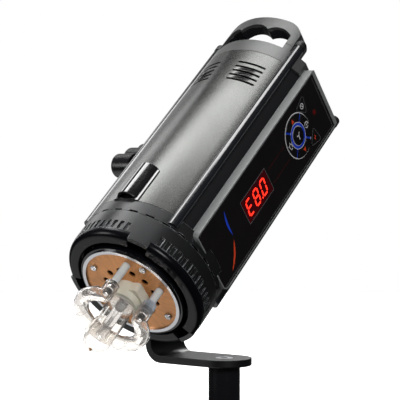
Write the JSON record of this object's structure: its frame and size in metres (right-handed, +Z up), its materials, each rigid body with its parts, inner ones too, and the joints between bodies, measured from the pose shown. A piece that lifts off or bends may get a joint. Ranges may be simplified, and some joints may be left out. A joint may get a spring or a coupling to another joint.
{
  "type": "monolight studio strobe",
  "caption": "Studio flash head with round barrel, bayonet front, side control panel and rear handle, on a tilting L bracket with a stand socket.",
  "frame": {"origin": "The centre of the stand socket's bore at its mouth, which is where the stand's spigot goes in.", "axes": "+Z is up, along the stand. The head faces -Y, tipped 40 degrees nose down about an axis along X. The control panel is on +X, and the bracket's arm and its locking knob are on -X."},
  "size_m": [0.1687, 0.293, 0.3669],
  "materials": {
    "cover_paint": "satin graphite paint",
    "housing_black": "satin black paint",
    "rod_black": "gloss black",
    "collar_grey": "satin graphite paint",
    "lip_black": "rounded gloss black",
    "drum_black": "gloss black",
    "copper_plate": "brushed, copper coloured",
    "bright_steel": "bright",
    "chrome_rim": "polished",
    "cream_ceramic": "cream steatite",
    "white_ceramic": "white alumina",
    "clear_glass": "clear",
    "dark_metal": "dark",
    "handle_grey": "satin graphite",
    "grip_black": "soft black",
    "panel_black": "gloss black",
    "window_red": "dark red tint",
    "display_red": "lit red digits",
    "key_black": "satin black",
    "board_green": "solder mask",
    "plastic_black": "fine grained",
    "bracket_black": "matte black powder coat",
    "washer_fibre": "friction fibre",
    "bolt_steel": "zinc plated",
    "brass_pins": "nickelled brass",
    "can_blue": "sleeved",
    "tray_steel": "zinc plated",
    "coil_core": "laminated core",
    "slave_red": "red translucent",
    "fan_black": "plain",
    "spring_steel": "plain"
  },
  "bodies": {
    "bracket": {"tilt_bracket": "bracket_black", "friction_washer": "washer_fibre", "stand_socket": "rod_black", "foot_screw": "bolt_steel"},
    "stand_lock": {"socket_lock": "plastic_black"},
    "tilt_lock": {"tilt_knob": "plastic_black"},
    "ring": {"bayonet_ring": "collar_grey", "ring_lip": "lip_black"},
    "catch": {"release_catch": "lip_black"},
    "rocker": {"power_rocker": "plastic_black"},
    "fuse": {"fuse_cap": "plastic_black"},
    "fan": {"fan_rotor": "fan_black"},
    "key_set": {"key_set": "key_black"},
    "key_front": {"key_front": "key_black"},
    "key_up": {"key_up": "key_black"},
    "key_rear": {"key_rear": "key_black"},
    "key_down": {"key_down": "key_black"},
    "key_lamp": {"key_lamp": "key_black"},
    "key_test": {"key_test": "key_black"},
    "head": {"capacitors": "can_blue", "catch_spring": "spring_steel", "catch_track": "plastic_black", "charging_coil": "coil_core", "chassis_tray": "tray_steel", "control_board": "board_green", "control_box": "handle_grey", "display_module": "display_red", "display_window": "window_red", "drum_screws": "bright_steel", "fan_frame": "fan_black", "flash_tube": "clear_glass", "front_collar": "collar_grey", "handle_grip": "grip_black", "handle_shell": "handle_grey", "holder_screws": "bright_steel", "inlet_pins": "brass_pins", "lamp_base": "bright_steel", "lamp_capsule": "clear_glass", "lamp_drum": "drum_black", "lamp_glass": "clear_glass", "lamp_holder": "cream_ceramic", "lower_housing": "housing_black", "panel_fascia": "panel_black", "pivot_bolt": "bolt_steel", "plate_rim": "chrome_rim", "plate_screws": "bright_steel", "power_board": "board_green", "power_inlet": "plastic_black", "ready_lamp": "slave_red", "rear_cap": "handle_grey", "rear_panel": "plastic_black", "reflector_plate": "copper_plate", "rod_caps": "plastic_black", "side_rods": "rod_black", "slave_sensor": "slave_red", "sync_jack": "bright_steel", "tilt_hub": "plastic_black", "top_cover": "cover_paint", "tube_electrodes": "dark_metal", "tube_posts": "white_ceramic"}
  },
  "joints": [
    {"name": "head_tilt", "type": "hinge", "parent": "bracket", "child": "head", "pos_m": [-0.063, 0, 0.2384], "axis": [1, 0, 0], "range_deg": [-130, 15]},
    {"name": "tilt_lock_turn", "type": "hinge", "parent": "head", "child": "tilt_lock", "pos_m": [-0.08, 0, 0.2384], "axis": [-1, 0, 0], "range_deg": [0, 540]},
    {"name": "stand_lock_turn", "type": "hinge", "parent": "bracket", "child": "stand_lock", "pos_m": [-0.02, 0, 0.0155], "axis": [-1, 0, 0], "range_deg": [0, 720]},
    {"name": "ring_turn", "type": "hinge", "parent": "head", "child": "ring", "pos_m": [0, -0.11108, 0.1452], "axis": [0, -0.766, -0.6428], "range_deg": [0, 20]},
    {"name": "catch_slide", "type": "slide", "parent": "head", "child": "catch", "axis": [0, 0.766, 0.6428], "range_m": [0, 0.006], "stiffness_N_per_m": 400, "springref_m": -0.004, "deforming": ["catch_spring"]},
    {"name": "power_rock", "type": "hinge", "parent": "head", "child": "rocker", "pos_m": [-0.027, 0.08414, 0.27114], "axis": [-1, 0, 0], "range_deg": [0, 16]},
    {"name": "fuse_turn", "type": "hinge", "parent": "head", "child": "fuse", "pos_m": [0.028, 0.0867, 0.27198], "axis": [0, 0.766, 0.6428], "range_deg": [-90, 0]},
    {"name": "fan_spin", "type": "hinge", "parent": "head", "child": "fan", "pos_m": [0, 0.05228, 0.30055], "axis": [0, -0.766, -0.6428], "continuous": true},
    {"name": "key_set_press", "type": "slide", "parent": "head", "child": "key_set", "axis": [-1, 0, 0], "range_m": [0, 0.0006], "stiffness_N_per_m": 1500, "springref_m": -0.0004},
    {"name": "key_front_press", "type": "slide", "parent": "head", "child": "key_front", "axis": [-1, 0, 0], "range_m": [0, 0.0006], "stiffness_N_per_m": 1500, "springref_m": -0.0004},
    {"name": "key_up_press", "type": "slide", "parent": "head", "child": "key_up", "axis": [-1, 0, 0], "range_m": [0, 0.0006], "stiffness_N_per_m": 1500, "springref_m": -0.0004},
    {"name": "key_rear_press", "type": "slide", "parent": "head", "child": "key_rear", "axis": [-1, 0, 0], "range_m": [0, 0.0006], "stiffness_N_per_m": 1500, "springref_m": -0.0004},
    {"name": "key_down_press", "type": "slide", "parent": "head", "child": "key_down", "axis": [-1, 0, 0], "range_m": [0, 0.0006], "stiffness_N_per_m": 1500, "springref_m": -0.0004},
    {"name": "key_lamp_press", "type": "slide", "parent": "head", "child": "key_lamp", "axis": [-1, 0, 0], "range_m": [0, 0.0006], "stiffness_N_per_m": 1500, "springref_m": -0.0004},
    {"name": "key_test_press", "type": "slide", "parent": "head", "child": "key_test", "axis": [-1, 0, 0], "range_m": [0, 0.0006], "stiffness_N_per_m": 1500, "springref_m": -0.0004}
  ]
}
